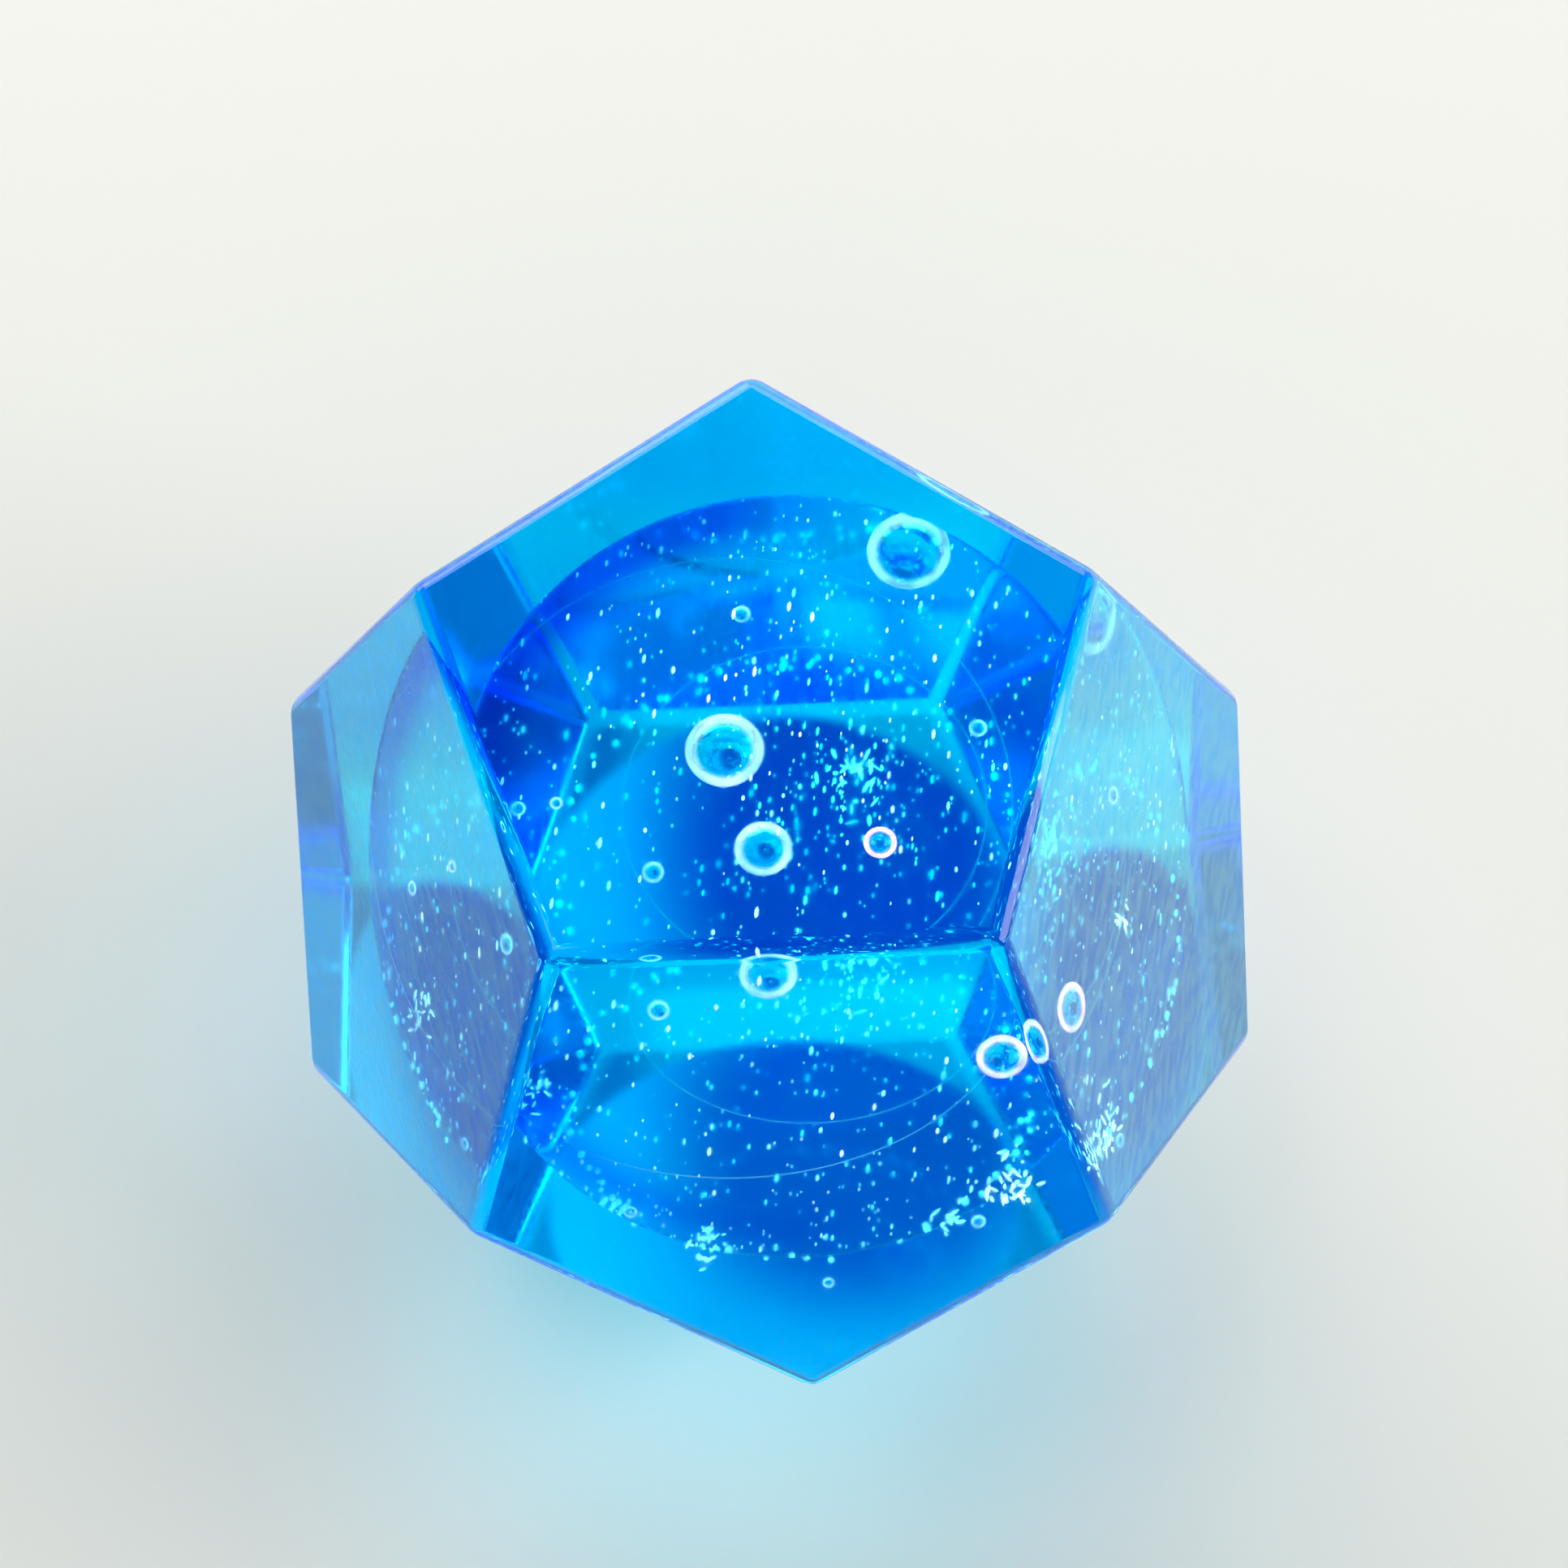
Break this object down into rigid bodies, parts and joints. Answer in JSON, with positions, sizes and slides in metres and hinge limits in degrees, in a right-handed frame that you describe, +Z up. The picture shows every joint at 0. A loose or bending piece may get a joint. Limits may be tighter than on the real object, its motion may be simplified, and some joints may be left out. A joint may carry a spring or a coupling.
{
  "type": "blank twelve-sided resin die",
  "caption": "Blank dodecahedral die of clear blue cast resin around a ball-shaped core full of air bubbles, polished, resting on one face.",
  "frame": {"origin": "centre of the face that the die rests on, on the table", "axes": "+Z up, out of the top face; -Y out towards the upper face nearest the camera; +X to the right of that face"},
  "size_m": [0.0327, 0.0343, 0.0279],
  "materials": {
    "lower_pour_resin": "polished clear blue resin",
    "upper_pour_resin": "polished clear blue resin",
    "core_resin": "clear blue resin full of fine air bubbles"
  },
  "bodies": {
    "root": {"lower_pour": "lower_pour_resin", "upper_pour": "upper_pour_resin", "core_ball": "core_resin"}
  },
  "joints": []
}
